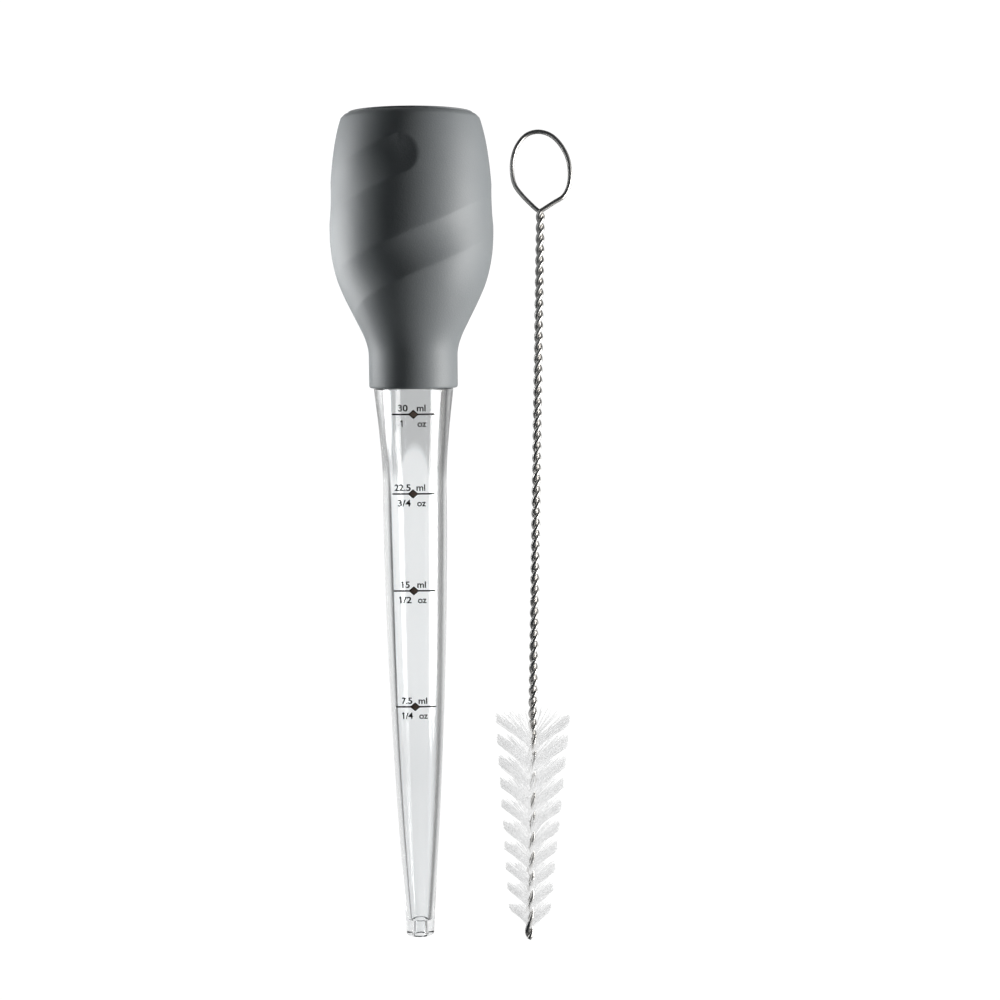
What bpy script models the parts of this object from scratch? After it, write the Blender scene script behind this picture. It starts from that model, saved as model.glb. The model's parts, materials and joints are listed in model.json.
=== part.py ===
"""Kitchen baster with its twisted-wire cleaning brush, lying side by side.

The baster is a clear graduated tube plugged into a silicone squeeze bulb. The brush is one wire, bent into
a finger loop and twisted over bristle tufts. Both are built along their own +Y axis, from the tip, and then
laid on the table: metres, +Z up, table at z = 0, origin under the middle of the set.
"""
import math

import bmesh
import bpy
from mathutils import Vector

GAP = 0.0003                   # clearance between pieces that touch
SEAM = 0.00001                 # merge distance for poles and seams

# Tube: share of the length up to the shoulder, outer radius and wall at each station
TUBE_STATIONS = [(0.100, 0.00600, 0.00190), (0.230, 0.00760, 0.00200), (0.380, 0.00910, 0.00220),
                 (0.535, 0.01032, 0.00270), (0.715, 0.01113, 0.00286), (0.843, 0.01125, 0.00245),
                 (0.920, 0.01220, 0.00260)]
TIP_RADIUS = 0.0049
TIP_WALL = 0.0018              # where the bore meets the short orifice
TIP_ROUNDING = 0.0004
ORIFICE_RADIUS = 0.00185
ORIFICE_LENGTH = 0.0055
SHOULDER_AT = 0.1957           # the flare that the bulb's collar stops against
SHOULDER_HEIGHT = 0.0023       # how far the shoulder stands out from the plug
PLUG_RADIUS = 0.0116
PLUG_LENGTH = 0.0215
PLUG_WALL = 0.0014
RIB_HEIGHT = 0.0003
RIB_WIDTH = 0.0016
RIB_COUNT = 3
TUBE_SIDES = 32

# Bulb: lengths run from the open end of its collar
COLLAR_WALL = 0.0033
COLLAR_LENGTH = 0.0110
COLLAR_ROUNDING = 0.0010
FLARE_LENGTH = 0.0430          # from the collar out to the widest ring
BELLY_RADIUS = 0.0284
BELLY_TO_CROWN = 0.0388        # from the widest ring to the rounded crown edge
CROWN_IN = 0.0044              # how far the crown edge comes in from the widest ring
CROWN_ROUNDING = 0.0014
DISC_IN = 0.0025               # how far the raised end disc comes in from the crown edge
DISC_HEIGHT = 0.0008
BULB_WALL = 0.0028
BULB_SIDES = 40
# How far each end of a bulb curve keeps its direction, as a share of that curve's length
FLARE_START_PULL = 0.26
FLARE_END_PULL = 0.56
DOME_START_PULL = 0.46
DOME_END_PULL = 0.19
DOME_FULLNESS = 0.6            # share of the crown's step in that the last pull stays out

# Thumb patch: the stretch of bulb wall that goes in when the bulb is squeezed
PATCH_HALF_LENGTH = 0.0170
PATCH_HALF_WIDTH = 0.0125
PATCH_PAST_FLARE = 0.0040      # patch centre beyond the widest ring
PATCH_SIDES = 28

# Brush wire
WIRE_RADIUS = 0.0008
STRAND_GAP = 0.00006           # between the two twisted strands
STEM_PITCH = 0.0079            # one turn of the plain twist
END_PITCH = 0.0084             # one turn of the bare end
STEPS_PER_TURN = 8
LOOP_AT = 0.2593               # where the two strands part into the finger loop
LOOP = [(0.0015, 0.0010), (0.0049, 0.0033), (0.0082, 0.0056), (0.0101, 0.0096), (0.0104, 0.0150),
        (0.0093, 0.0202), (0.0066, 0.0249), (0.0030, 0.0281), (-0.0013, 0.0292), (-0.0054, 0.0280),
        (-0.0085, 0.0245), (-0.0102, 0.0198), (-0.0105, 0.0146), (-0.0094, 0.0097), (-0.0067, 0.0060),
        (-0.0036, 0.0029), (-0.0015, 0.0010)]
LOOP_STEPS = 2
BARE_END = 0.0024              # twisted wire past the last bristles

# Bristles
TIER_COUNT = 10
FIRST_SPACING = 0.0073         # between tiers at the handle end
LAST_SPACING = 0.00645
FIRST_TIP_RADIUS = 0.0131
LAST_TIP_RADIUS = 0.00735
BRISTLE_LEAN = math.radians(37)
TUFT_THICKNESS = 0.0015
TUFT_SWEEP = 0.94              # share of the half turn that one tuft fills
TUFT_STEPS = 8

# How the two lie on the table
BASTER_YAW = math.radians(0.48)
BRUSH_YAW = math.radians(-0.93)
BRUSH_BESIDE = BELLY_RADIUS + 0.0106   # between the two tips, across
BRUSH_AHEAD = 0.0016           # between the two tips, along


def material(name, color, roughness, metallic=0.0, alpha=1.0):
    made = bpy.data.materials.new(name)
    made.use_nodes = True
    shader = made.node_tree.nodes["Principled BSDF"]
    shader.inputs["Base Color"].default_value = (*color, 1.0)
    shader.inputs["Roughness"].default_value = roughness
    shader.inputs["Metallic"].default_value = metallic
    shader.inputs["Alpha"].default_value = alpha
    made.diffuse_color = (*color, alpha)
    return made


def smooth_through(points, steps):
    """Points of a Catmull-Rom curve through the given ones, `steps` to each stretch."""
    knots = [Vector(p) for p in points]
    knots = [2 * knots[0] - knots[1]] + knots + [2 * knots[-1] - knots[-2]]
    line = []
    for a, b, c, d in zip(knots, knots[1:], knots[2:], knots[3:]):
        for step in range(steps):
            t = step / steps
            line.append(0.5 * (2 * b + (c - a) * t + (2 * a - 5 * b + 4 * c - d) * t ** 2
                               + (3 * b - a - 3 * c + d) * t ** 3))
    return line + [knots[-2]]


def bend(start, start_pull, end_pull, end, steps):
    """Points of one cubic Bezier stretch."""
    corners = [Vector(p) for p in (start, start_pull, end_pull, end)]
    line = []
    for step in range(steps + 1):
        t = step / steps
        weights = ((1 - t) ** 3, 3 * t * (1 - t) ** 2, 3 * t ** 2 * (1 - t), t ** 3)
        line.append(sum((w * c for w, c in zip(weights, corners)), Vector((0, 0))))
    return line


def inset(line, wall):
    """The line moved a wall's thickness towards the axis side, along its own normals."""
    moved = []
    for index, point in enumerate(line):
        along = (line[min(index + 1, len(line) - 1)] - line[max(index - 1, 0)]).normalized()
        moved.append(point + wall * Vector((along.y, -along.x)))
    return moved


def add_object(name, mesh, look, parent):
    part = bpy.data.objects.new(name, mesh)
    bpy.context.collection.objects.link(part)
    part.data.materials.append(look)
    part.parent = parent
    return part


def turned(name, outline, sides, closed):
    """A mesh turned about +Y from (distance along, radius) points."""
    bm = bmesh.new()
    ring = [bm.verts.new((radius, along, 0.0)) for along, radius in outline]
    pairs = list(zip(ring, ring[1:]))
    if closed:
        pairs.append((ring[-1], ring[0]))
    edges = [bm.edges.new(pair) for pair in pairs]
    bmesh.ops.spin(bm, geom=ring + edges, cent=(0, 0, 0), axis=(0, 1, 0), angle=math.tau, steps=sides,
                   use_merge=True, use_duplicate=False)
    bmesh.ops.remove_doubles(bm, verts=bm.verts[:], dist=SEAM)
    bmesh.ops.recalc_face_normals(bm, faces=bm.faces[:])
    mesh = bpy.data.meshes.new(name)
    bm.to_mesh(mesh)
    bm.free()
    mesh.shade_smooth()
    mesh.set_sharp_from_angle(angle=math.radians(35))
    return mesh


def tube_outline():
    plug_end = SHOULDER_AT + PLUG_LENGTH
    outside = smooth_through([(TIP_ROUNDING, TIP_RADIUS)]
                             + [(share * SHOULDER_AT, radius) for share, radius, wall in TUBE_STATIONS]
                             + [(SHOULDER_AT, PLUG_RADIUS + SHOULDER_HEIGHT)], 2)
    bore = smooth_through([(ORIFICE_LENGTH, TIP_RADIUS - TIP_WALL)]
                          + [(share * SHOULDER_AT, radius - wall) for share, radius, wall in TUBE_STATIONS]
                          + [(plug_end, PLUG_RADIUS - PLUG_WALL)], 2)
    ribs = []
    rib_spacing = PLUG_LENGTH / (RIB_COUNT + 1)
    for rib in range(1, RIB_COUNT + 1):
        middle = SHOULDER_AT + rib * rib_spacing
        ribs += [(middle - RIB_WIDTH / 2, PLUG_RADIUS), (middle, PLUG_RADIUS + RIB_HEIGHT),
                 (middle + RIB_WIDTH / 2, PLUG_RADIUS)]
    return ([(0, ORIFICE_RADIUS), (0, TIP_RADIUS - TIP_ROUNDING)] + outside + [(SHOULDER_AT, PLUG_RADIUS)]
            + ribs + [(plug_end, PLUG_RADIUS)] + bore[::-1] + [(ORIFICE_LENGTH, ORIFICE_RADIUS)])


def belly_at():
    return SHOULDER_AT + GAP + COLLAR_LENGTH + FLARE_LENGTH


def bulb_outline():
    """From the middle of the end disc down the outside to the collar, then up the cavity."""
    open_end = SHOULDER_AT + GAP
    neck = open_end + COLLAR_LENGTH
    belly = belly_at()
    crown = belly + BELLY_TO_CROWN
    disc = crown + CROWN_ROUNDING
    bore = PLUG_RADIUS + RIB_HEIGHT + GAP
    collar_radius = bore + COLLAR_WALL
    crown_radius = BELLY_RADIUS - CROWN_IN
    flare = bend((neck, collar_radius), (neck + FLARE_START_PULL * FLARE_LENGTH, collar_radius),
                 (belly - FLARE_END_PULL * FLARE_LENGTH, BELLY_RADIUS), (belly, BELLY_RADIUS), 9)
    dome = bend((belly, BELLY_RADIUS), (belly + DOME_START_PULL * BELLY_TO_CROWN, BELLY_RADIUS),
                (crown - DOME_END_PULL * BELLY_TO_CROWN, crown_radius + DOME_FULLNESS * CROWN_IN),
                (crown, crown_radius), 7)
    body = flare + dome[1:]
    collar = [(open_end, collar_radius - COLLAR_ROUNDING), (open_end + COLLAR_ROUNDING, collar_radius)]
    end = [(disc, crown_radius - CROWN_ROUNDING), (disc, crown_radius - DISC_IN),
           (disc + DISC_HEIGHT, crown_radius - DISC_IN), (disc + DISC_HEIGHT, 0)]
    ceiling = disc - BULB_WALL
    cavity = [point for point in inset(body, BULB_WALL) if point.y > bore and point.x < ceiling]
    mouth = [(open_end, bore), (cavity[0].x - (cavity[0].y - bore), bore)]
    roof = [(ceiling, cavity[-1].y - CROWN_ROUNDING), (ceiling, 0)]
    return (collar + body + end)[::-1] + mouth + cavity + roof


def patch_prism(name, half_length, half_width, parent):
    """An upright oval prism through the upper bulb wall, from inside the cavity."""
    centre = belly_at() + PATCH_PAST_FLARE
    bm = bmesh.new()
    ring = []
    for side in range(PATCH_SIDES):
        turn = math.tau * side / PATCH_SIDES
        ring.append(bm.verts.new((half_width * math.cos(turn), centre + half_length * math.sin(turn),
                                  BELLY_RADIUS / 2)))
    base = bm.faces.new(ring)
    top = bmesh.ops.extrude_face_region(bm, geom=[base])
    lifted = [item for item in top["geom"] if isinstance(item, bmesh.types.BMVert)]
    bmesh.ops.translate(bm, verts=lifted, vec=(0, 0, BELLY_RADIUS))
    bmesh.ops.recalc_face_normals(bm, faces=bm.faces[:])
    mesh = bpy.data.meshes.new(name)
    bm.to_mesh(mesh)
    bm.free()
    cutter = bpy.data.objects.new(name, mesh)
    bpy.context.collection.objects.link(cutter)
    cutter.parent = parent
    cutter.hide_render = True
    cutter.display_type = "WIRE"
    return cutter


def cut(part, cutter, operation):
    modifier = part.modifiers.new("thumb patch", "BOOLEAN")
    modifier.object = cutter
    modifier.operation = operation
    modifier.solver = "EXACT"


def add_baster(parent):
    clear = material("clear_plastic", (0.90, 0.93, 0.94), 0.06, alpha=0.35)
    silicone = material("grey_silicone", (0.24, 0.26, 0.28), 0.55)
    patch_silicone = material("grey_silicone_patch", (0.25, 0.27, 0.29), 0.55)
    add_object("baster_tube", turned("baster_tube", tube_outline(), TUBE_SIDES, True), clear, parent)
    shell = turned("squeeze_bulb", bulb_outline(), BULB_SIDES, False)
    bulb = add_object("squeeze_bulb", shell, silicone, parent)
    patch = add_object("bulb_press_wall", shell.copy(), patch_silicone, parent)
    patch.data.materials.clear()
    patch.data.materials.append(patch_silicone)
    hole = patch_prism("patch_hole_cutter", PATCH_HALF_LENGTH + GAP, PATCH_HALF_WIDTH + GAP, parent)
    plug = patch_prism("patch_cutter", PATCH_HALF_LENGTH, PATCH_HALF_WIDTH, parent)
    cut(bulb, hole, "DIFFERENCE")
    cut(patch, plug, "INTERSECT")


def root_at(tier):
    """Where along the brush a tier's roots are; tiers close up towards the wire's end."""
    tightening = (FIRST_SPACING - LAST_SPACING) / (TIER_COUNT - 1)
    last = TIER_COUNT - 0.5
    return (BARE_END + FIRST_SPACING * (last - tier) - tightening * (last ** 2 - tier ** 2) / 2)


def twist_stations():
    """(distance along, angle of the first strand) from the loop down to the wire's end."""
    top = root_at(-0.5)
    stem = LOOP_AT - top
    turns = math.floor(stem / STEM_PITCH) + 0.75
    steps = round(turns * STEPS_PER_TURN)
    stations = [(LOOP_AT - stem * step / steps, math.pi / 2 + math.tau * turns * step / steps)
                for step in range(steps)]
    angle = math.pi / 2 + math.tau * turns
    tier_steps = TIER_COUNT * STEPS_PER_TURN // 2
    for step in range(tier_steps):
        tier = -0.5 + TIER_COUNT * step / tier_steps
        stations.append((root_at(tier), angle + math.tau * step / STEPS_PER_TURN))
    angle += math.pi * TIER_COUNT
    bottom = root_at(TIER_COUNT - 0.5)
    end_steps = math.ceil(bottom / END_PITCH * STEPS_PER_TURN)
    for step in range(end_steps + 1):
        stations.append((bottom * (1 - step / end_steps),
                         angle + math.tau * bottom / END_PITCH * step / end_steps))
    return stations


def wire_route():
    """One wire: up one strand, round the finger loop and down the other strand."""
    spread = WIRE_RADIUS + STRAND_GAP / 2
    strand = [Vector((spread * math.cos(angle), along, spread * math.sin(angle)))
              for along, angle in twist_stations()]
    other = [Vector((-point.x, point.y, -point.z)) for point in strand]
    ring = [(across, LOOP_AT + along) for across, along in LOOP]
    flat = smooth_through([(0, LOOP_AT)] + ring + [(0, LOOP_AT)], LOOP_STEPS)
    loop = []
    for index, point in enumerate(flat[1:-1], start=1):
        side = math.cos(math.pi * index / (len(flat) - 1))
        loop.append(Vector((point.x, point.y, spread * side)))
    return strand[::-1] + loop + other


def add_wire(parent):
    route = wire_route()
    curve = bpy.data.curves.new("brush_wire", "CURVE")
    curve.dimensions = "3D"
    spline = curve.splines.new("POLY")
    spline.points.add(len(route) - 1)
    for point, place in zip(spline.points, route):
        point.co = (*place, 1.0)
    curve.bevel_depth = WIRE_RADIUS
    curve.bevel_resolution = 1
    curve.use_fill_caps = True
    return add_object("brush_wire", curve, material("polished_steel", (0.62, 0.60, 0.58), 0.18, 1.0), parent)


def tuft_mesh(name, tier, heading):
    """Half a turn of leaning bristles as one curved vane, centred on the heading."""
    root_radius = 2 * WIRE_RADIUS + STRAND_GAP / 2 + GAP
    bm = bmesh.new()
    sections = []
    for step in range(TUFT_STEPS + 1):
        turn = TUFT_SWEEP * (step / TUFT_STEPS - 0.5)
        share = min(max((tier + turn) / (TIER_COUNT - 1), 0.0), 1.0)
        tip_radius = FIRST_TIP_RADIUS + share * (LAST_TIP_RADIUS - FIRST_TIP_RADIUS)
        angle = heading + math.pi * turn
        corners = []
        for radius, side in ((root_radius, -1), (tip_radius, -1), (tip_radius, 1), (root_radius, 1)):
            along = root_at(tier + turn) + radius * math.tan(BRISTLE_LEAN) + side * TUFT_THICKNESS / 2
            corners.append(bm.verts.new((radius * math.cos(angle), along, radius * math.sin(angle))))
        sections.append(corners)
    for near, far in zip(sections, sections[1:]):
        for edge in range(4):
            bm.faces.new((near[edge], near[(edge + 1) % 4], far[(edge + 1) % 4], far[edge]))
    bm.faces.new(sections[0])
    bm.faces.new(sections[-1][::-1])
    bmesh.ops.recalc_face_normals(bm, faces=bm.faces[:])
    mesh = bpy.data.meshes.new(name)
    bm.to_mesh(mesh)
    bm.free()
    return mesh


def add_bristles(parent):
    for side, heading in (("right", 0.0), ("left", math.pi)):
        for tier in range(TIER_COUNT):
            name = f"bristle_tuft_{side}_{tier + 1:02d}"
            nylon = material(f"nylon_{side}_{tier + 1:02d}", (0.86, 0.86, 0.85), 0.35)
            add_object(name, tuft_mesh(name, tier, heading), nylon, parent)


def points_of(parent):
    """Every evaluated vertex of the pieces under an empty, in world space."""
    bpy.context.view_layer.update()
    graph = bpy.context.evaluated_depsgraph_get()
    points = []
    for part in parent.children:
        if part.hide_render:
            continue
        evaluated = part.evaluated_get(graph)
        mesh = evaluated.to_mesh()
        points += [evaluated.matrix_world @ vertex.co for vertex in mesh.vertices]
        evaluated.to_mesh_clear()
    return points


def lay_down(parent, yaw):
    """Tilt the piece until both of its halves touch the table, then turn it in plan."""
    points = points_of(parent)
    middle = (min(p.y for p in points) + max(p.y for p in points)) / 2
    low, high = math.radians(-15), math.radians(15)
    for _ in range(40):
        tilt = (low + high) / 2
        heights = [(p.y, p.y * math.sin(tilt) + p.z * math.cos(tilt)) for p in points]
        near = min(height for along, height in heights if along < middle)
        far = min(height for along, height in heights if along >= middle)
        if far > near:
            high = tilt
        else:
            low = tilt
    parent.rotation_euler = (tilt, 0, yaw)
    parent.location.z -= min(near, far)


def centre_on_origin(parents):
    points = [point for parent in parents for point in points_of(parent)]
    low = [min(point[axis] for point in points) for axis in range(3)]
    high = [max(point[axis] for point in points) for axis in range(3)]
    shift = Vector(((low[0] + high[0]) / 2, (low[1] + high[1]) / 2, 0))
    for parent in parents:
        parent.location -= shift
    bpy.context.view_layer.update()


def empty(name):
    made = bpy.data.objects.new(name, None)
    bpy.context.collection.objects.link(made)
    return made


def main():
    for old in list(bpy.data.objects):
        bpy.data.objects.remove(old, do_unlink=True)
    baster = empty("baster_axis")
    brush = empty("brush_axis")
    add_baster(baster)
    add_wire(brush)
    add_bristles(brush)
    lay_down(baster, BASTER_YAW)
    lay_down(brush, BRUSH_YAW)
    brush.location += Vector((BRUSH_BESIDE, BRUSH_AHEAD, 0))
    centre_on_origin([baster, brush])


main()
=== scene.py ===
"""A kitchen baster and its twisted-wire brush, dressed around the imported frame.

The clear tube, the silicone bulb, the printed scale, the twisted wire and the nylon bristles are each made
in their own tool's frame (across, along from the tip, above) and then moved to the table.
"""

import json
import math

import bmesh
import bpy
import numpy as np
from mathutils import Matrix, Vector


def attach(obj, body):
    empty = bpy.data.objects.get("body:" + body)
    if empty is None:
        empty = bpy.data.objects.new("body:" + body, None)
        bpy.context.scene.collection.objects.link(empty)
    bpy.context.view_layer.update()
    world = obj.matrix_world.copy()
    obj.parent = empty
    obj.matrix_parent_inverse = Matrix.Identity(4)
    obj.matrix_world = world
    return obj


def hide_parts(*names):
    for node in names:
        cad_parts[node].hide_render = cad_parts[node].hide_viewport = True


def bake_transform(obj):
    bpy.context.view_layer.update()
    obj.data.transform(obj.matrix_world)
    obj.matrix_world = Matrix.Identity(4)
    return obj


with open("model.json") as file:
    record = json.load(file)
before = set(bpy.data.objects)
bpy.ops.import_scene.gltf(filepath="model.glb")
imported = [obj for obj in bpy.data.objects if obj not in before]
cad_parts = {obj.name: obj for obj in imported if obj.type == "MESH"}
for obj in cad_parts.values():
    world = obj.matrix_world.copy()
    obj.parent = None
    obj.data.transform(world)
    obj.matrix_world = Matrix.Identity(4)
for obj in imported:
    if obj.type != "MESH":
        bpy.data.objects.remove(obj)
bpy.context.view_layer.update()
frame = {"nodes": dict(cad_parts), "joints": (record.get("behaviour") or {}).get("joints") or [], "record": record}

MM = 0.001

# Tube, as the solids have it: share of the length to the shoulder, outer radius, wall
TUBE_STATIONS = [(0.100, 0.00600, 0.00190), (0.230, 0.00760, 0.00200), (0.380, 0.00910, 0.00220),
                 (0.535, 0.01032, 0.00270), (0.715, 0.01113, 0.00286), (0.843, 0.01125, 0.00245),
                 (0.920, 0.01220, 0.00260)]
TIP_RADIUS = 4.9 * MM
TIP_WALL = 1.8 * MM
ORIFICE_RADIUS = 1.85 * MM
ORIFICE_LENGTH = 5.5 * MM
SHOULDER_AT = 195.7 * MM
SHOULDER_HEIGHT = 2.3 * MM
PLUG_RADIUS = 11.6 * MM
PLUG_LENGTH = 21.5 * MM
PLUG_WALL = 1.4 * MM
RIB_HEIGHT = 0.3 * MM
RIB_WIDTH = 1.6 * MM
RIB_COUNT = 3
TUBE_SIDES = 112

# Bulb
GAP = 0.3 * MM
COLLAR_WALL = 3.3 * MM
COLLAR_LENGTH = 11 * MM
FLARE_LENGTH = 43 * MM
BELLY_RADIUS = 28.4 * MM
BELLY_TO_CROWN = 38.8 * MM
CROWN_IN = 4.4 * MM
CROWN_ROUNDING = 1.4 * MM
DISC_IN = 2.5 * MM
DISC_HEIGHT = 0.8 * MM
BULB_WALL = 2.8 * MM
BULB_SIDES = 220
FLUTE_HALF_WIDTH = 6.7 * MM
FLUTE_DEPTH = 0.9 * MM
FLUTE_SIDE_LOSS = 0.62         # share of the depth lost at the bulb's two sides
FLUTE_RISE = 10.9 * MM         # along the bulb for each radian round it
FLUTE_END = 275.0 * MM         # along from the tip, where a flute's round end is centred
FLUTE_TURN = math.radians(290)

# Printed scale
INK_THICKNESS = 0.02 * MM
INK_LIFT = 0.015 * MM
FIGURE_HEIGHT = 2.3 * MM
CAP_HEIGHT = 0.729             # of a capital, for a type size of 1
EYE_AT = 215 * MM              # along the tube, where a ring is edge on to the overhead camera
EYE_ABOVE = 665 * MM           # from the tube up to that camera
FLAG = [(0, 0), (0.3, 0), (0.3, -0.42), (-0.42, -0.72), (-0.42, -0.48)]      # of the figure 1

# Brush
WIRE_RADIUS = 0.8 * MM
STRAND_GAP = 0.06 * MM
STEM_PITCH = 7.9 * MM
END_PITCH = 8.4 * MM
LOOP_AT = 259.3 * MM
LOOP = [(1.5, 1.0), (4.9, 3.3), (8.2, 5.6), (10.1, 9.6), (10.4, 15.0), (9.3, 20.2), (6.6, 24.9), (3.0, 28.1),
        (-1.3, 29.2), (-5.4, 28.0), (-8.5, 24.5), (-10.2, 19.8), (-10.5, 14.6), (-9.4, 9.7), (-6.7, 6.0),
        (-3.6, 2.9), (-1.5, 1.0)]
BARE_END = 2.4 * MM
TIER_COUNT = 10
FIRST_SPACING = 7.3 * MM
LAST_SPACING = 6.45 * MM
FIRST_TIP_RADIUS = 13.1 * MM
LAST_TIP_RADIUS = 7.35 * MM
BRISTLE_LEAN = math.radians(37)


# ---------------------------------------------------------------- frames of the two tools

def baster_frame():
    """Across, along and above the baster, with its origin in the middle of the tip."""
    joints = {joint["name"]: joint for joint in frame["joints"]}
    mounts = {mount["name"]: mount for mount in frame["record"]["mounts"]}
    along = Vector(joints["bulb_pull"]["axis"]).normalized()
    above = -Vector(joints["bulb_squeeze"]["axis"]).normalized()
    across = along.cross(above).normalized()
    end_face = Vector(mounts["bulb_end_face"]["pos_m"])
    length = (end_face - Vector(mounts["tip_face"]["pos_m"])).dot(along)
    return axes_matrix(across, along, above, end_face - along * length)


def brush_frame():
    """The same for the brush, from a straight line through its twisted stem."""
    wire = np.array([v.co for v in frame["nodes"]["brush_wire"].data.vertices])
    low, high = wire[:, 1].min(), wire[:, 1].max()
    stem = wire[(wire[:, 1] > low + 0.3 * (high - low)) & (wire[:, 1] < low + 0.85 * (high - low))]
    slope_x, start_x = np.polyfit(stem[:, 1], stem[:, 0], 1)
    slope_z, start_z = np.polyfit(stem[:, 1], stem[:, 2], 1)
    along = Vector((slope_x, 1.0, slope_z)).normalized()
    across = along.cross(Vector((0, 0, 1))).normalized()
    above = across.cross(along)
    tip = Vector((start_x + slope_x * low, low, start_z + slope_z * low))
    tip -= along * min((Vector(p) - tip).dot(along) for p in wire[wire[:, 1] < low + 2 * MM])
    return axes_matrix(across, along, above, tip)


def axes_matrix(across, along, above, origin):
    turn = Matrix((across, along, above)).transposed()
    return Matrix.Translation(origin) @ turn.to_4x4()


# ---------------------------------------------------------------- outlines and meshes

def smooth_through(points, steps):
    """A Catmull-Rom line through the points, `steps` to each stretch."""
    knots = [Vector(p) for p in points]
    knots = [2 * knots[0] - knots[1]] + knots + [2 * knots[-1] - knots[-2]]
    line = []
    for a, b, c, d in zip(knots, knots[1:], knots[2:], knots[3:]):
        for step in range(steps):
            t = step / steps
            line.append(0.5 * (2 * b + (c - a) * t + (2 * a - 5 * b + 4 * c - d) * t ** 2
                               + (3 * b - a - 3 * c + d) * t ** 3))
    return line + [knots[-2]]


def bend(start, start_pull, end_pull, end, steps):
    """One cubic Bezier stretch."""
    corners = [Vector(p) for p in (start, start_pull, end_pull, end)]
    line = []
    for step in range(steps + 1):
        t = step / steps
        weights = ((1 - t) ** 3, 3 * t * (1 - t) ** 2, 3 * t ** 2 * (1 - t), t ** 3)
        line.append(sum((w * c for w, c in zip(weights, corners)), Vector((0, 0))))
    return line


def inset(line, wall):
    moved = []
    for index, point in enumerate(line):
        along = (line[min(index + 1, len(line) - 1)] - line[max(index - 1, 0)]).normalized()
        moved.append(point + wall * Vector((along.y, -along.x)))
    return moved


def eased(outline, radius, steps=4):
    """The outline with each sharp corner rounded off."""
    outline = [Vector(p) for p in outline]
    line = [outline[0]]
    for before, corner, after in zip(outline, outline[1:], outline[2:]):
        back, on = before - corner, after - corner
        if back.length < 1e-9 or on.length < 1e-9 or back.angle(-on) < math.radians(20):
            line.append(corner)
            continue
        start = corner + back.normalized() * min(radius, 0.45 * back.length)
        end = corner + on.normalized() * min(radius, 0.45 * on.length)
        for step in range(steps + 1):
            t = step / steps
            line.append(start * (1 - t) ** 2 + corner * 2 * t * (1 - t) + end * t ** 2)
    return line + [outline[-1]]


def mesh_object(name, verts, faces):
    mesh = bpy.data.meshes.new(name)
    mesh.from_pydata([tuple(v) for v in verts], [], faces)
    return finished(name, mesh)


def finished(name, mesh, crease=30):
    """Merge doubles, turn faces outwards and shade smooth up to the crease angle."""
    bm = bmesh.new()
    bm.from_mesh(mesh)
    bmesh.ops.remove_doubles(bm, verts=bm.verts[:], dist=1e-7)
    bmesh.ops.recalc_face_normals(bm, faces=bm.faces[:])
    bm.to_mesh(mesh)
    bm.free()
    mesh.shade_smooth()
    mesh.set_sharp_from_angle(angle=math.radians(crease))
    made = bpy.data.objects.new(name, mesh)
    bpy.context.collection.objects.link(made)
    return made


def lathe(name, outline, sides, closed, shape=None):
    """Turn (along, radius) points about the along axis; `shape` may move the radius at an angle."""
    rows = []
    for along, radius in outline:
        row = []
        for side in range(sides):
            angle = math.tau * side / sides
            reach = radius if shape is None else shape(along, radius, angle)
            row.append((reach * math.sin(angle), along, reach * math.cos(angle)))
        rows.append(row)
    verts = [point for row in rows for point in row]
    count = len(rows)
    faces = []
    for near in range(count if closed else count - 1):
        far = (near + 1) % count
        for side in range(sides):
            turn = (side + 1) % sides
            faces.append((near * sides + side, near * sides + turn, far * sides + turn, far * sides + side))
    return mesh_object(name, verts, faces)


def place(piece, matrix):
    piece.data.transform(matrix)
    return piece


# ---------------------------------------------------------------- shader expressions

class Wire:
    """A node socket that takes part in arithmetic; each operation adds its Math node."""

    def __init__(self, tree, socket):
        self.tree = tree
        self.socket = socket

    def node(self, kind, settings=None, **values):
        """Any other node: settings are set first, then values or links by socket name or index."""
        made = self.tree.nodes.new(kind)
        for key, value in (settings or {}).items():
            setattr(made, key, value)
        for key, value in values.items():
            name = key.replace("_", " ").title()
            socket = made.inputs[int(key[1:])] if key[0] == "i" and key[1:].isdigit() else made.inputs[name]
            put(self.tree, socket, value)
        return made

    def out(self, made, name=0):
        return Wire(self.tree, made.outputs[name])

    def math(self, operation, *others):
        values = {f"i{index}": other for index, other in enumerate((self,) + others)}
        return self.out(self.node("ShaderNodeMath", {"operation": operation}, **values))

    def __add__(self, other):
        return self.math("ADD", other)

    def __sub__(self, other):
        return self.math("SUBTRACT", other)

    def __mul__(self, other):
        return self.math("MULTIPLY", other)

    def __truediv__(self, other):
        return self.math("DIVIDE", other)

    def __rsub__(self, other):
        return (self * -1).math("ADD", other)

    __radd__ = __add__
    __rmul__ = __mul__

    def clamped(self, low, high):
        """0 below low, 1 above high."""
        made = self.node("ShaderNodeMapRange", {"clamp": True}, i0=self, i1=low, i2=high)
        return self.out(made)

    def mix(self, dark, light):
        """A colour between two others, by this factor."""
        made = self.node("ShaderNodeMix", {"data_type": "RGBA"}, i0=self, i6=dark, i7=light)
        return self.out(made, 2)


def put(tree, socket, value):
    if isinstance(value, Wire):
        tree.links.new(value.socket, socket)
    elif isinstance(value, bpy.types.NodeSocket):
        tree.links.new(value, socket)
    elif hasattr(socket, "default_value"):
        socket.default_value = value


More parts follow.
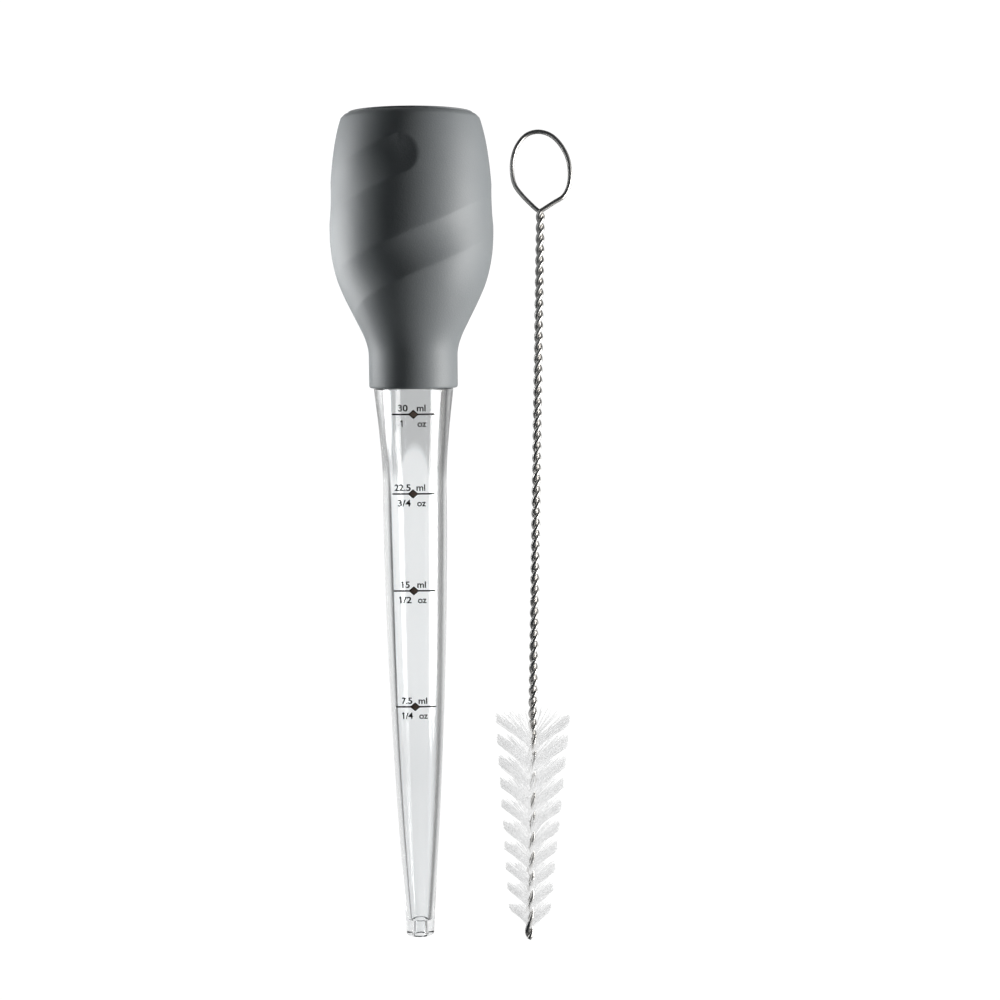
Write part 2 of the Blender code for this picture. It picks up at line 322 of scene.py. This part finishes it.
class Finish:
    """A Principled material under construction."""

    def __init__(self, name, **constants):
        self.material = bpy.data.materials.new(name)
        self.material.use_nodes = True
        self.tree = self.material.node_tree
        self.shader = self.tree.nodes["Principled BSDF"]
        coordinates = self.tree.nodes.new("ShaderNodeTexCoord")
        self.place = Wire(self.tree, coordinates.outputs["Object"])
        for name, value in constants.items():
            self.shader.inputs[name.replace("_", " ").title().replace("Ior", "IOR")].default_value = value

    def noise(self, scale, detail=3.0, roughness=0.55, at=None):
        made = self.place.node("ShaderNodeTexNoise", None, vector=at or self.place, scale=scale,
                               detail=detail, roughness=roughness)
        return self.place.out(made)

    def stretched(self, *scale):
        made = self.place.node("ShaderNodeMapping", None, vector=self.place, scale=scale)
        return self.place.out(made)

    def out_of(self, kind, output, **values):
        return Wire(self.tree, self.place.node(kind, **values).outputs[output])

    def set(self, name, value):
        put(self.tree, self.shader.inputs[name], value)

    def bump(self, height, strength, distance):
        made = self.place.node("ShaderNodeBump", None, height=height, strength=strength, distance=distance)
        self.set("Normal", self.place.out(made))


# ---------------------------------------------------------------- finishes

def clear_plastic():
    finish = Finish("clear_plastic", transmission_weight=1.0, ior=1.49)
    ripple = finish.noise(55, 2.0)
    haze = finish.noise(900, 2.0)
    finish.set("Base Color", ripple.mix((0.965, 0.978, 0.985, 1), (0.985, 0.992, 0.995, 1)))
    finish.set("Roughness", haze.clamped(0.45, 0.75) * 0.02 + 0.008)
    finish.bump(ripple, 0.06, 0.4 * MM)
    return finish.material


def grey_silicone():
    finish = Finish("grey_silicone", specular_ior_level=0.5)
    cloud = finish.noise(60, 2.0)
    grain = finish.noise(1900, 3.0, 0.6)
    shade = cloud * 0.5 + grain * 0.5
    finish.set("Base Color", shade.clamped(0.3, 0.7).mix((0.222, 0.240, 0.252, 1), (0.250, 0.266, 0.276, 1)))
    finish.set("Roughness", grain * 0.16 + 0.42)
    finish.bump(grain, 0.32, 0.22 * MM)
    return finish.material


def scale_ink(name, dark, light):
    finish = Finish(name, specular_ior_level=0.08)
    blot = finish.noise(1400, 2.0)
    finish.set("Base Color", blot.mix(dark, light))
    finish.set("Roughness", blot * 0.2 + 0.55)
    finish.bump(blot, 0.1, 0.02 * MM)
    return finish.material


def drawn_steel():
    finish = Finish("drawn_steel", metallic=1.0)
    cloud = finish.noise(160, 2.0)
    lines = finish.noise(1.0, 2.0, at=finish.stretched(2600, 260, 2600))
    finish.set("Base Color", cloud.mix((0.68, 0.665, 0.645, 1), (0.80, 0.785, 0.76, 1)))
    finish.set("Roughness", lines * 0.12 + 0.30)
    finish.bump(lines, 0.10, 0.03 * MM)
    return finish.material


def white_nylon():
    # The emission is a painted glow: it lightens the filaments as if light came through them, though nylon gives
    # off no light.
    finish = Finish("white_nylon", specular_ior_level=0.5, emission_strength=0.56)
    strand = finish.noise(700, 2.0)
    finish.set("Base Color", strand.mix((0.36, 0.365, 0.37, 1), (0.50, 0.50, 0.50, 1)))
    finish.set("Emission Color", strand.mix((0.70, 0.70, 0.70, 1), (1.0, 1.0, 1.0, 1)))
    finish.set("Roughness", strand * 0.15 + 0.28)
    finish.set("Alpha", strand.clamped(0.3, 0.7) * 0.2 + 0.35)
    finish.bump(strand, 0.1, 0.02 * MM)
    return finish.material


# ---------------------------------------------------------------- baster

def tube_outside():
    stations = [(share * SHOULDER_AT, radius) for share, radius, wall in TUBE_STATIONS]
    shoulder = (SHOULDER_AT, PLUG_RADIUS + SHOULDER_HEIGHT)
    return smooth_through([(0.4 * MM, TIP_RADIUS)] + stations + [shoulder], 14)


def tube_radius(along):
    """Outer radius of the tube at a distance along it."""
    line = tube_outside()
    return float(np.interp(along, [p.x for p in line], [p.y for p in line]))


def make_tube():
    plug_end = SHOULDER_AT + PLUG_LENGTH
    bore = smooth_through([(ORIFICE_LENGTH, TIP_RADIUS - TIP_WALL)]
                          + [(share * SHOULDER_AT, radius - wall) for share, radius, wall in TUBE_STATIONS]
                          + [(plug_end, PLUG_RADIUS - PLUG_WALL)], 14)
    ribs = []
    for rib in range(1, RIB_COUNT + 1):
        middle = SHOULDER_AT + rib * PLUG_LENGTH / (RIB_COUNT + 1)
        ribs += [(middle + RIB_WIDTH / 2 * math.sin(turn),
                  PLUG_RADIUS + RIB_HEIGHT * math.cos(turn)) for turn in np.linspace(-1.57, 1.57, 7)]
    outline = ([(ORIFICE_LENGTH / 2, ORIFICE_RADIUS), (0, ORIFICE_RADIUS), (0, TIP_RADIUS - 0.1 * MM)]
               + tube_outside() + [(SHOULDER_AT, PLUG_RADIUS)] + ribs + [(plug_end, PLUG_RADIUS)]
               + bore[::-1] + [(ORIFICE_LENGTH, ORIFICE_RADIUS), (ORIFICE_LENGTH * 0.51, ORIFICE_RADIUS)])
    tube = place(lathe("clear_tube", eased(outline, 0.35 * MM), TUBE_SIDES, True), BASTER)
    tube.data.materials.append(clear_plastic())
    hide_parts("baster_tube")
    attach(tube, "baster")


def flute(along, angle):
    """How deep the two spiral finger flutes are cut at a point of the bulb's outside."""
    depth = 0.0
    rise_angle = math.atan2(FLUTE_RISE, BELLY_RADIUS)
    for start in (math.radians(-6), math.radians(174)):
        for turn in (-math.tau, 0, math.tau):
            behind = start - (angle + turn)
            if not -0.6 < behind < FLUTE_TURN + 0.6:
                continue
            centre = FLUTE_END - FLUTE_RISE * max(behind, 0)
            off = (along - centre) * math.cos(rise_angle)
            if behind < 0:
                off = math.hypot(along - FLUTE_END, behind * BELLY_RADIUS)
            fade = min(max((FLUTE_TURN - behind) / math.radians(60), 0), 1)
            share = 1 - (off / FLUTE_HALF_WIDTH) ** 2
            depth = max(depth, FLUTE_DEPTH * fade * max(share, 0))
    return depth * (1 - FLUTE_SIDE_LOSS * math.sin(angle) ** 2)


def make_bulb():
    open_end = SHOULDER_AT + GAP
    neck = open_end + COLLAR_LENGTH
    belly = neck + FLARE_LENGTH
    crown = belly + BELLY_TO_CROWN
    disc = crown + CROWN_ROUNDING
    bore = PLUG_RADIUS + RIB_HEIGHT + GAP
    collar_radius = bore + COLLAR_WALL
    crown_radius = BELLY_RADIUS - CROWN_IN
    flare = bend((neck, collar_radius), (neck + 0.26 * FLARE_LENGTH, collar_radius),
                 (belly - 0.56 * FLARE_LENGTH, BELLY_RADIUS), (belly, BELLY_RADIUS), 90)
    dome = bend((belly, BELLY_RADIUS), (belly + 0.46 * BELLY_TO_CROWN, BELLY_RADIUS),
                (crown - 0.19 * BELLY_TO_CROWN, crown_radius + 0.6 * CROWN_IN), (crown, crown_radius), 90)
    body = flare + dome[1:]
    rim = [(open_end, bore), (open_end, collar_radius), (open_end + COLLAR_LENGTH / 2, collar_radius)]
    end = [(disc, crown_radius - CROWN_ROUNDING), (disc, crown_radius - DISC_IN),
           (disc + DISC_HEIGHT, crown_radius - DISC_IN), (disc + DISC_HEIGHT, crown_radius / 2),
           (disc + DISC_HEIGHT, 0)]
    ceiling = disc - BULB_WALL
    cavity = [p for p in inset(body, BULB_WALL) if p.y > bore and p.x < ceiling][::5]
    inside = [(ceiling, 0), (ceiling, cavity[-1].y - CROWN_ROUNDING)] + cavity[::-1]
    mouth = [(cavity[0].x - (cavity[0].y - bore), bore), (open_end + 0.5 * MM, bore)]
    outside = eased(rim, 1.0 * MM, 6)[1:] + body + eased([body[-1]] + end, 0.5 * MM, 5)[1:]
    outline = outside + inside + mouth

    def shape(along, radius, angle):
        if radius < collar_radius or (along, radius) in inner:
            return radius
        return radius - flute(along, angle)

    inner = {(p[0], p[1]) for p in inside + mouth}
    bulb = place(lathe("silicone_bulb", [tuple(p) for p in outline], BULB_SIDES, True, shape), BASTER)
    bulb.data.materials.append(grey_silicone())
    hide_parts("squeeze_bulb", "bulb_press_wall")
    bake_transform(bulb)


# ---------------------------------------------------------------- printed scale

def flat_text(words, left, right, height):
    """Filled lettering between two edges, as (across, along) vertices and faces, standing on 0."""
    curve = bpy.data.curves.new("lettering", "FONT")
    curve.body = words
    curve.size = 1.0
    curve.resolution_u = 6
    curve.offset = 0.022
    holder = bpy.data.objects.new("lettering", curve)
    bpy.context.collection.objects.link(holder)
    bpy.context.view_layer.update()
    mesh = bpy.data.meshes.new_from_object(holder.evaluated_get(bpy.context.evaluated_depsgraph_get()))
    bpy.data.objects.remove(holder)
    verts = np.array([v.co[:2] for v in mesh.vertices])
    faces = [tuple(face.vertices) for face in mesh.polygons]
    bpy.data.meshes.remove(mesh)
    verts[:, 1] *= height / CAP_HEIGHT
    low, high = verts[:, 0].min(), verts[:, 0].max()
    verts[:, 0] = left + (verts[:, 0] - low) * (right - left) / (high - low)
    return verts, faces


class Print:
    """Ink that is wrapped round the tube: flat shapes in, thin closed solids out."""

    def __init__(self):
        self.verts = []
        self.faces = []

    def add(self, verts, faces, at, turn, lift=0.0):
        """verts are (arc, along) from the place `at` along the tube, `turn` round it.

        The ink is bent along the tube so that a line looks straight from the overhead camera.
        """
        base = len(self.verts)
        for height in (lift, lift + INK_THICKNESS):
            for arc, rise in verts:
                radius = tube_radius(at + rise)
                angle = turn + arc / radius
                reach = radius + INK_LIFT + height
                sag = radius * (1 - math.cos(angle)) * (EYE_AT - at) / EYE_ABOVE
                self.verts.append((reach * math.sin(angle), at + rise - sag, reach * math.cos(angle)))
        count = len(verts)
        edges = {}
        for face in faces:
            self.faces.append(tuple(base + count + i for i in face))
            self.faces.append(tuple(base + i for i in face[::-1]))
            for a, b in zip(face, face[1:] + face[:1]):
                edges[(a, b)] = edges.get((a, b), 0) + 1
        for a, b in edges:
            if (b, a) not in edges:
                self.faces.append((base + a, base + b, base + count + b, base + count + a))

    def strip(self, left, right, thick, at, turn, parts=24):
        """A line round the tube."""
        verts = []
        for part in range(parts + 1):
            arc = left + (right - left) * part / parts
            verts += [(arc, -thick / 2), (arc, thick / 2)]
        faces = [(2 * i, 2 * i + 2, 2 * i + 3, 2 * i + 1) for i in range(parts)]
        self.add(verts, faces, at, turn)

    def diamond(self, half_width, half_height, at, turn, lift, parts=8):
        verts = []
        for part in range(parts + 1):
            arc = half_width * (2 * part / parts - 1)
            half = half_height * (1 - abs(arc) / half_width) + 0.004 * MM
            verts += [(arc, -half), (arc, half)]
        faces = [(2 * i, 2 * i + 2, 2 * i + 3, 2 * i + 1) for i in range(parts)]
        self.add(verts, faces, at, turn, lift)

    def text(self, words, left, right, rise, at, turn):
        """Lettering from left to right of the diamond, in millimetres, standing `rise` off the line."""
        verts, faces = flat_text(words, left * MM, right * MM, FIGURE_HEIGHT)
        self.add([(x, y + rise) for x, y in verts], faces, at, turn)
        if words[0] == "1":
            top = rise + FIGURE_HEIGHT
            flag = [(left * MM + x * MM, top + y * MM) for x, y in FLAG]
            self.add(flag, [(4, 3, 2, 1, 0)], at, turn)

    def finish(self, name, look):
        made = place(mesh_object(name, self.verts, self.faces), BASTER)
        made.data.materials.append(look)
        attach(made, "baster")


def make_scale():
    marks = [(84.6, -2.6, ("7.5", -5.0, -1.0), ("1/4", -4.6, -0.8)),
             (125.8, -1.7, ("15", -4.2, -1.4), ("1/2", -5.1, -0.8)),
             (159.7, -0.8, ("22.5", -6.9, -0.8), ("3/4", -5.6, -0.8)),
             (187.3, 1.6, ("30", -5.4, -1.9), ("1", -4.2, -3.8))]
    lines = Print()
    gems = Print()
    for at, degrees, millilitres, ounces in marks:
        at *= MM
        turn = math.radians(degrees)
        lines.strip(-7.9 * MM, 7.9 * MM, 0.55 * MM, at, turn)
        lines.diamond(1.85 * MM, 1.6 * MM, at, turn, INK_THICKNESS)
        gems.diamond(1.35 * MM, 1.1 * MM, at, turn, 2.5 * INK_THICKNESS)
        lines.text(*millilitres, 1.1 * MM, at, turn)
        lines.text("ml", 1.2, 4.3, 1.1 * MM, at, turn)
        lines.text(*ounces, -4.3 * MM, at, turn)
        lines.text("oz", 1.35, 4.5, -4.3 * MM, at, turn)
    lines.finish("scale_print", scale_ink("scale_ink", (0.008, 0.006, 0.005, 1), (0.020, 0.015, 0.013, 1)))
    gems.finish("scale_diamonds", scale_ink("diamond_ink", (0.15, 0.11, 0.085, 1), (0.21, 0.155, 0.125, 1)))


# ---------------------------------------------------------------- brush

def root_at(tier):
    tightening = (FIRST_SPACING - LAST_SPACING) / (TIER_COUNT - 1)
    last = TIER_COUNT - 0.5
    return BARE_END + FIRST_SPACING * (last - tier) - tightening * (last ** 2 - tier ** 2) / 2


def twist_stations(steps_per_turn):
    """(distance along, angle of the first strand) from the loop down to the wire's end."""
    top = root_at(-0.5)
    bottom = root_at(TIER_COUNT - 0.5)
    stem = LOOP_AT - top
    turns = math.floor(stem / STEM_PITCH) + 0.75
    steps = round(turns * steps_per_turn)
    stations = [(LOOP_AT - stem * step / steps, math.pi / 2 + math.tau * turns * step / steps)
                for step in range(steps)]
    angle = math.pi / 2 + math.tau * turns
    tier_steps = TIER_COUNT * steps_per_turn // 2
    stations += [(root_at(-0.5 + TIER_COUNT * step / tier_steps), angle + math.tau * step / steps_per_turn)
                 for step in range(tier_steps)]
    angle += math.pi * TIER_COUNT
    end_steps = math.ceil(bottom / END_PITCH * steps_per_turn)
    stations += [(bottom * (1 - step / end_steps), angle + math.tau * bottom / END_PITCH * step / end_steps)
                 for step in range(end_steps + 1)]
    return stations


def wire_route():
    spread = WIRE_RADIUS + STRAND_GAP / 2
    strand = [Vector((spread * math.cos(angle), along, spread * math.sin(angle)))
              for along, angle in twist_stations(24)]
    other = [Vector((-point.x, point.y, -point.z)) for point in strand]
    loop = [(across * MM, LOOP_AT + along * MM) for across, along in LOOP]
    flat = smooth_through([(0, LOOP_AT)] + loop + [(0, LOOP_AT)], 8)
    loop = [Vector((point.x, point.y, spread * math.cos(math.pi * index / (len(flat) - 1))))
            for index, point in enumerate(flat)]
    return strand[::-1] + loop[2:-2] + other


def make_wire():
    """Geometry Nodes sweep a round section along the wire's route."""
    route = wire_route()
    curve = bpy.data.curves.new("wire_route", "CURVE")
    curve.dimensions = "3D"
    spline = curve.splines.new("POLY")
    spline.points.add(len(route) - 1)
    for point, spot in zip(spline.points, route):
        point.co = (*spot, 1.0)
    guide = bpy.data.objects.new("wire_route", curve)
    bpy.context.collection.objects.link(guide)
    tree, start, end = node_tree("sweep_wire", {"Wire Radius": WIRE_RADIUS, "Sides": 14})
    section = tree_node(tree, "GeometryNodeCurvePrimitiveCircle", Resolution=start.outputs["Sides"],
                        Radius=start.outputs["Wire Radius"])
    sweep = tree_node(tree, "GeometryNodeCurveToMesh", Curve=start.outputs["Geometry"],
                      Profile_Curve=section.outputs["Curve"], Fill_Caps=True)
    finish_tree(tree, sweep.outputs["Mesh"], end, drawn_steel())
    wire = place(baked(guide, tree, "twisted_wire"), BRUSH)
    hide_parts("brush_wire")
    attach(wire, "brush")


def node_tree(name, inputs):
    """A geometry node tree with named number inputs."""
    tree = bpy.data.node_groups.new(name, "GeometryNodeTree")
    tree.interface.new_socket("Geometry", in_out="INPUT", socket_type="NodeSocketGeometry")
    tree.interface.new_socket("Geometry", in_out="OUTPUT", socket_type="NodeSocketGeometry")
    for label, value in inputs.items():
        kind = "NodeSocketInt" if isinstance(value, int) else "NodeSocketFloat"
        socket = tree.interface.new_socket(label, in_out="INPUT", socket_type=kind)
        socket.default_value = value
    return tree, tree.nodes.new("NodeGroupInput"), tree.nodes.new("NodeGroupOutput")


def tree_node(tree, kind, settings=None, **values):
    made = tree.nodes.new(kind)
    for key, value in (settings or {}).items():
        setattr(made, key, value)
    for key, value in values.items():
        put(tree, made.inputs[key.replace("_", " ")], value)
    return made


def finish_tree(tree, geometry, end, look):
    realised = tree_node(tree, "GeometryNodeRealizeInstances", Geometry=geometry)
    painted = tree_node(tree, "GeometryNodeSetMaterial", Geometry=realised.outputs["Geometry"], Material=look)
    tree.links.new(painted.outputs["Geometry"], end.inputs["Geometry"])


def baked(holder, tree, name, **values):
    """Run the tree on the holder with these inputs and keep the result as a plain mesh object."""
    modifier = holder.modifiers.new(tree.name, "NODES")
    modifier.node_group = tree
    for item in tree.interface.items_tree:
        label = item.name.replace(" ", "_")
        if item.in_out == "INPUT" and label in values:
            modifier[item.identifier] = values[label]
    bpy.context.view_layer.update()
    graph = bpy.context.evaluated_depsgraph_get()
    mesh = bpy.data.meshes.new_from_object(holder.evaluated_get(graph), depsgraph=graph)
    mesh.name = name
    holder.modifiers.remove(modifier)
    bpy.data.objects.remove(holder)
    return finished(name, mesh, 60)


def bristle_tree(look):
    """Geometry Nodes for one tuft: loose filaments along half a turn of the twist, leaning to the loop."""
    tree, start, end = node_tree("bristle_tuft", {
        "Bristles": 170, "Seed": 1, "Heading": 0.0, "Root": 0.0, "Root Step": 0.0, "Root Radius": 0.6 * MM,
        "Reach": 0.0, "Reach Step": 0.0, "Lean": BRISTLE_LEAN, "Thickness": 0.011})
    given = {socket.name: Wire(tree, socket) for socket in start.outputs if socket.name}
    index = Wire(tree, tree_node(tree, "GeometryNodeInputIndex").outputs[0])

    def chance(low, high, salt):
        made = tree_node(tree, "FunctionNodeRandomValue", {"data_type": "FLOAT"})
        for socket in made.inputs:
            if socket.enabled and socket.name in ("Min", "Max"):
                socket.default_value = low if socket.name == "Min" else high
        put(tree, made.inputs["ID"], index)
        put(tree, made.inputs["Seed"], given["Seed"] + salt)
        return Wire(tree, next(s for s in made.outputs if s.enabled and s.type == "VALUE"))

    spread = chance(-1.0, 1.0, 0)
    turn = spread * (spread.math("ABSOLUTE") * 0.34 + 0.14)
    angle = given["Heading"] + turn * math.pi + chance(-0.10, 0.10, 1000)
    along = given["Root"] + given["Root Step"] * turn + chance(-0.40 * MM, 0.40 * MM, 2000)
    lean = given["Lean"] + chance(-0.08, 0.08, 3000)
    round_off = (turn * turn * 0.03).math("MINIMUM", 1.2 * MM)
    reach = given["Reach"] + given["Reach Step"] * turn - round_off + chance(-0.5 * MM, 0.25 * MM, 4000)
    length = (reach - given["Root Radius"]) / lean.math("COSINE")
    out_x = angle.math("COSINE")
    out_z = angle.math("SINE")

    def vector(x, y, z):
        made = tree_node(tree, "ShaderNodeCombineXYZ", X=x, Y=y, Z=z)
        return Wire(tree, made.outputs[0])

    root = vector(out_x * given["Root Radius"], along + lean.math("TANGENT") * given["Root Radius"],
                  out_z * given["Root Radius"])
    heading = vector(out_x * lean.math("COSINE"), lean.math("SINE"), out_z * lean.math("COSINE"))
    points = tree_node(tree, "GeometryNodePoints", Count=given["Bristles"], Position=root)
    spine = tree_node(tree, "GeometryNodeCurveQuadraticBezier", Resolution=4, Start=(0, 0, 0),
                      Middle=(0.05, 0, 0.55), End=(0, 0, 1))
    section = tree_node(tree, "GeometryNodeCurvePrimitiveCircle", Resolution=5, Radius=given["Thickness"])
    filament = tree_node(tree, "GeometryNodeCurveToMesh", Curve=spine.outputs["Curve"],
                         Profile_Curve=section.outputs["Curve"], Fill_Caps=True)
    aim = tree_node(tree, "FunctionNodeAlignEulerToVector", {"axis": "Z"}, Vector=heading)
    roll = tree_node(tree, "FunctionNodeRotateEuler", {"rotation_type": "AXIS_ANGLE", "space": "LOCAL"},
                     Rotation=aim.outputs[0], Axis=(0, 0, 1), Angle=chance(0, math.tau, 5000))
    grown = tree_node(tree, "GeometryNodeInstanceOnPoints", Points=points.outputs[0],
                      Instance=filament.outputs["Mesh"], Rotation=roll.outputs[0],
                      Scale=vector(length, length, length))
    finish_tree(tree, grown.outputs["Instances"], end, look)
    return tree


def make_bristles():
    tree = bristle_tree(white_nylon())
    taper = (LAST_TIP_RADIUS - FIRST_TIP_RADIUS) / (TIER_COUNT - 1)
    for side, heading in (("right", 0.0), ("left", math.pi)):
        for tier in range(TIER_COUNT):
            holder = bpy.data.objects.new("tuft", bpy.data.meshes.new("tuft"))
            bpy.context.collection.objects.link(holder)
            tuft = baked(holder, tree, f"nylon_tuft_{side}_{tier + 1:02d}", Heading=heading,
                         Seed=tier + 1 + (50 if side == "left" else 0), Root=root_at(tier),
                         Root_Step=root_at(tier + 0.5) - root_at(tier - 0.5),
                         Reach=FIRST_TIP_RADIUS + taper * tier, Reach_Step=taper,
                         Bristles=170 if tier else 70)
            place(tuft, BRUSH)
            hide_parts(f"bristle_tuft_{side}_{tier + 1:02d}")
            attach(tuft, "brush")


# ---------------------------------------------------------------- table, lights and camera

def make_table():
    """White to the camera. The clear and shiny pieces see a glow instead, whose zones are set
    for the look from overhead and stand for no real lamp."""
    bpy.ops.mesh.primitive_plane_add(size=12, location=(0, 0, 0))
    table = bpy.context.object
    table.name = "table"
    finish = Finish("white_table", roughness=0.6, emission_strength=9.0)
    cloud = finish.noise(2.0, 2.0)
    finish.set("Base Color", cloud.mix((0.44, 0.44, 0.44, 1), (0.48, 0.48, 0.48, 1)))
    across = finish.out_of("ShaderNodeSeparateXYZ", 0, vector=finish.place)
    along = finish.out_of("ShaderNodeSeparateXYZ", 1, vector=finish.place)
    bulb_side = along.clamped(0.0, 0.05) * along.clamped(0.5, 0.25)
    left = (across * -1).clamped(0.14, 0.30) * bulb_side * 0.80
    beside_bulb = along.clamped(0.005, 0.035) * along.clamped(0.19, 0.08)
    beside = (across * -1).clamped(0.055, 0.11) * beside_bulb * 0.85
    right = across.clamped(0.14, 0.26) * bulb_side * 0.40
    under = (across - BASTER.translation.x + 2.4 * MM) / 0.0066
    shadow = (along + (under * under).math("MINIMUM", 1.5) * 0.008).clamped(0.028, 0.033)
    aside = across - BASTER.translation.x + 2.0 * MM
    away = aside.math("MAXIMUM", aside * -0.55) / (along * 0.036 + 0.0105).math("MAXIMUM", 0.004)
    near = (away.clamped(2.2, 1.1) * 0.075 + 0.013) * (1 - shadow * 0.45)
    finish.set("Emission Color", (left + beside + right + near).mix((0, 0, 0, 1), (1, 1, 1, 1)))
    white = finish.tree.nodes.new("ShaderNodeEmission")
    white.inputs["Strength"].default_value = 1.05
    seen = finish.out_of("ShaderNodeLightPath", 0)
    both = finish.tree.nodes.new("ShaderNodeMixShader")
    for socket, value in zip(both.inputs, (seen, finish.shader.outputs[0], white.outputs[0])):
        put(finish.tree, socket, value)
    put(finish.tree, finish.tree.nodes["Material Output"].inputs["Surface"], both.outputs[0])
    table.data.materials.append(finish.material)


def soft_light(name, place, target, width, height, power, color):
    lamp = bpy.data.lights.new(name, "AREA")
    lamp.shape = "RECTANGLE"
    lamp.size = width
    lamp.size_y = height
    lamp.energy = power
    lamp.color = color
    holder = bpy.data.objects.new(name, lamp)
    bpy.context.collection.objects.link(holder)
    holder.location = place
    holder.rotation_euler = (Vector(target) - Vector(place)).to_track_quat("-Z", "Y").to_euler()


def make_studio():
    """A dark room that the camera sees as white."""
    world = bpy.data.worlds.new("dark_room")
    world.use_nodes = True
    tree = world.node_tree
    dark = tree.nodes["Background"]
    dark.inputs["Color"].default_value = (0.011, 0.014, 0.017, 1)
    white = tree_node(tree, "ShaderNodeBackground", Color=(1, 1, 1, 1))
    seen = tree_node(tree, "ShaderNodeLightPath")
    both = tree_node(tree, "ShaderNodeMixShader")
    for socket, source in zip(both.inputs, (seen, dark, white)):
        tree.links.new(source.outputs[0], socket)
    tree.links.new(both.outputs[0], tree.nodes["World Output"].inputs["Surface"])
    bpy.context.scene.world = world
    soft_light("right_softbox", (0.75, -0.03, 0.175), (0, 0.05, 0.02), 0.55, 0.35, 7.9, (1.0, 0.99, 0.975))
    soft_light("left_softbox", (-0.75, 0.0, 0.05), (0, 0.05, 0.02), 0.55, 0.10, 0.5, (0.93, 0.98, 1.0))


def make_camera():
    """Straight above the set, at arm's length."""
    data = bpy.data.cameras.new("overhead")
    data.sensor_width = 36
    data.lens = 68.4
    camera = bpy.data.objects.new("overhead", data)
    bpy.context.collection.objects.link(camera)
    tip = BASTER.translation
    camera.location = (tip.x + 28.6 * MM, tip.y + 155.8 * MM, 688.5 * MM)
    bpy.context.scene.camera = camera
    bpy.context.scene.view_settings.view_transform = "Standard"


BASTER = baster_frame()
BRUSH = brush_frame()
make_tube()
make_bulb()
make_scale()
make_wire()
make_bristles()
make_table()
make_studio()
make_camera()
